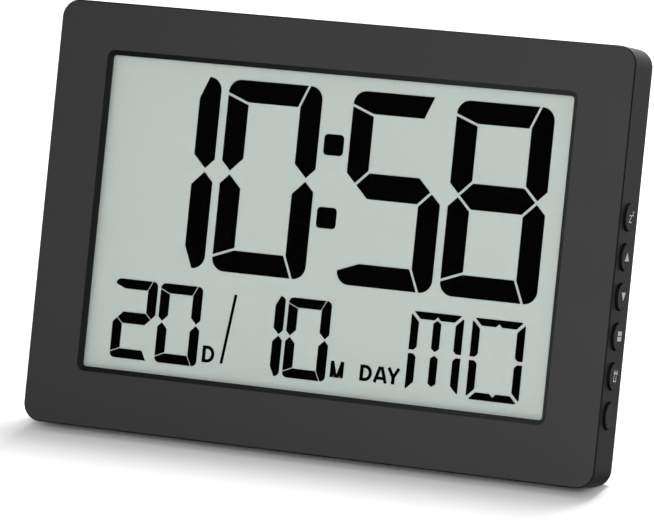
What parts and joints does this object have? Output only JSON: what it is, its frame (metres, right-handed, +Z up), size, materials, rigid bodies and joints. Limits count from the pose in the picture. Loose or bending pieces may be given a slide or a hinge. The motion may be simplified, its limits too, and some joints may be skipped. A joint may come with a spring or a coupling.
{
  "type": "desk clock",
  "caption": "Flat desk clock that leans back on a fold-out leg, with a large framed liquid crystal display, round side buttons and a hinged battery door.",
  "frame": {"origin": "floor level, under the middle of the clock's bounding box", "axes": "+X to the right as seen from the front, +Y from the display towards the back, +Z up"},
  "size_m": [0.2012, 0.0534, 0.1385],
  "materials": {
    "case_plastic": "fine satin grain, dark grey",
    "button_plastic": "satin, dark grey",
    "lens_clear": "clear, smooth",
    "polariser_film": "neutral film, smooth",
    "display_glass": "clear, smooth",
    "seal_resin": "dull",
    "segment_black": "black, flat",
    "reflector_grey": "grey-green, fine diffusing grain",
    "frame_plastic": "moulded, plain",
    "elastomer": "striped soft rubber",
    "board_green": "solder mask",
    "chip_epoxy": "cured drop",
    "can_metal": "drawn can",
    "buzzer_plastic": "moulded, plain",
    "switch_plastic": "moulded, plain",
    "cell_jacket": "printed film on a metal can",
    "spring_metal": "nickel plated strip",
    "screw_steel": "zinc plated"
  },
  "bodies": {
    "case": {"front_bezel": "case_plastic", "rear_case": "case_plastic", "display_lens": "lens_clear", "lcd_front_polariser": "polariser_film", "lcd_front_glass": "display_glass", "lcd_edge_seal": "seal_resin", "lcd_time_digits": "segment_black", "lcd_colon_dots": "segment_black", "lcd_day_digits": "segment_black", "lcd_month_digits": "segment_black", "lcd_weekday_letters": "segment_black", "lcd_rear_glass": "display_glass", "lcd_reflector": "reflector_grey", "lcd_frame": "frame_plastic", "connector_strip": "elastomer", "main_board": "board_green", "clock_chip": "chip_epoxy", "quartz_crystal": "can_metal", "capacitors": "can_metal", "alarm_buzzer": "buzzer_plastic", "side_switches": "switch_plastic", "upper_cell": "cell_jacket", "lower_cell": "cell_jacket", "positive_contact": "spring_metal", "negative_contact": "spring_metal", "bridge_contact": "spring_metal", "case_screws": "screw_steel", "board_screws": "screw_steel"},
    "snooze_key": {"snooze_button": "button_plastic", "snooze_plunger": "switch_plastic"},
    "up_key": {"up_button": "button_plastic", "up_plunger": "switch_plastic"},
    "down_key": {"down_button": "button_plastic", "down_plunger": "switch_plastic"},
    "mode_key": {"mode_button": "button_plastic", "mode_plunger": "switch_plastic"},
    "alarm_key": {"alarm_button": "button_plastic", "alarm_plunger": "switch_plastic"},
    "set_key": {"set_button": "button_plastic", "set_plunger": "switch_plastic"},
    "battery_lid": {"battery_door": "case_plastic"},
    "stand_leg": {"stand": "case_plastic"}
  },
  "joints": [
    {"name": "snooze_press", "type": "slide", "parent": "case", "child": "snooze_key", "axis": [-1, 0, 0], "range_m": [0, 0.0006], "stiffness_N_per_m": 2000},
    {"name": "up_press", "type": "slide", "parent": "case", "child": "up_key", "axis": [-1, 0, 0], "range_m": [0, 0.0006], "stiffness_N_per_m": 2000},
    {"name": "down_press", "type": "slide", "parent": "case", "child": "down_key", "axis": [-1, 0, 0], "range_m": [0, 0.0006], "stiffness_N_per_m": 2000},
    {"name": "mode_press", "type": "slide", "parent": "case", "child": "mode_key", "axis": [-1, 0, 0], "range_m": [0, 0.0006], "stiffness_N_per_m": 2000},
    {"name": "alarm_press", "type": "slide", "parent": "case", "child": "alarm_key", "axis": [-1, 0, 0], "range_m": [0, 0.0006], "stiffness_N_per_m": 2000},
    {"name": "set_press", "type": "slide", "parent": "case", "child": "set_key", "axis": [-1, 0, 0], "range_m": [0, 0.0006], "stiffness_N_per_m": 2000},
    {"name": "battery_door_hinge", "type": "hinge", "parent": "case", "child": "battery_lid", "pos_m": [-0.0006, 0.00788, 0.06706], "axis": [-1, 0, 0], "range_deg": [0, 75]},
    {"name": "stand_hinge", "type": "hinge", "parent": "case", "child": "stand_leg", "pos_m": [-0.0006, 0.00473, 0.05724], "axis": [-1, 0, 0], "range_deg": [0, 24]}
  ]
}
